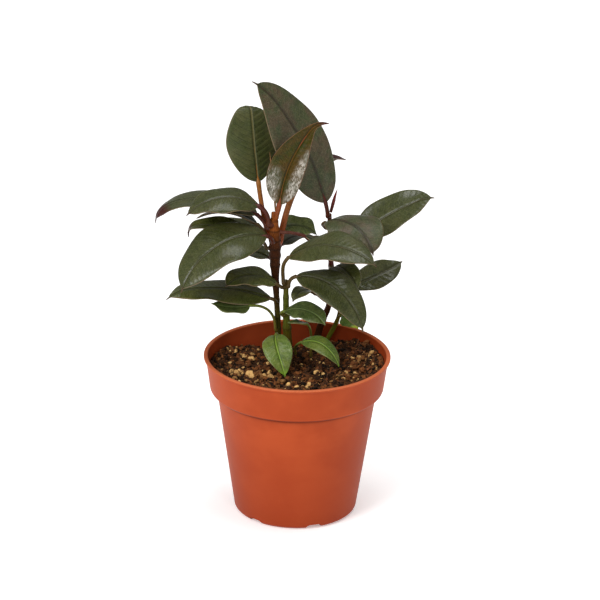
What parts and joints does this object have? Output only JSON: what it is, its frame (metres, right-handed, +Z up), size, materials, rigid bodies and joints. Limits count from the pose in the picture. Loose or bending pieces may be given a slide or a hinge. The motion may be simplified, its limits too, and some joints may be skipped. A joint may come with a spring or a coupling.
{
  "type": "potted rubber plant",
  "caption": "young rubber plant with broad glossy dark leaves on upright stems, in a round tapered terracotta-coloured plastic nursery pot filled with potting mix",
  "frame": {"origin": "on the floor at the centre of the round pot's base, where the plant stands", "axes": "+Z up along the pot's axis, +X to the right and -Y towards the viewer as the plant is shown from its front"},
  "size_m": [0.1613, 0.108, 0.2554],
  "materials": {
    "pot_plastic": "satin terracotta-coloured polypropylene",
    "potting_mix": "moist peat and bark with pale grit",
    "maroon_stem": "dull maroon-brown young bark",
    "green_stem": "satin olive-green young stem",
    "red_sheath": "satin dark red bud sheath",
    "dark_leaf": "glossy dark olive leaf, duller beneath",
    "young_leaf": "glossy mid-green young leaf"
  },
  "bodies": {
    "root": {"pot": "pot_plastic", "potting_mix": "potting_mix", "main_stem": "maroon_stem", "green_stem": "green_stem", "rear_stem": "green_stem", "side_shoot": "green_stem", "bud_rear": "red_sheath", "bud_front": "red_sheath", "leaf_crown_tall": "dark_leaf", "leaf_crown_round": "dark_leaf", "leaf_crown_front": "dark_leaf", "leaf_crown_back": "dark_leaf", "leaf_left_top_front": "dark_leaf", "leaf_left_top_back": "dark_leaf", "leaf_left_arched": "dark_leaf", "leaf_left_under": "dark_leaf", "leaf_left_hooked": "dark_leaf", "leaf_left_broad": "dark_leaf", "leaf_left_shaded": "dark_leaf", "leaf_left_curled": "dark_leaf", "leaf_left_low": "dark_leaf", "leaf_left_green": "young_leaf", "leaf_right_top_back": "dark_leaf", "leaf_right_top_front": "dark_leaf", "leaf_right_mid_front": "dark_leaf", "leaf_right_behind": "dark_leaf", "leaf_back_upright": "dark_leaf", "leaf_back_dark": "dark_leaf", "leaf_right_low_broad": "dark_leaf", "leaf_right_pale": "dark_leaf", "leaf_right_wide": "dark_leaf", "leaf_low_back": "dark_leaf", "leaf_low_front": "young_leaf", "leaf_low_small": "young_leaf", "leaf_front_heart": "young_leaf", "leaf_front_small": "young_leaf", "leaf_right_bright": "young_leaf"}
  },
  "joints": []
}
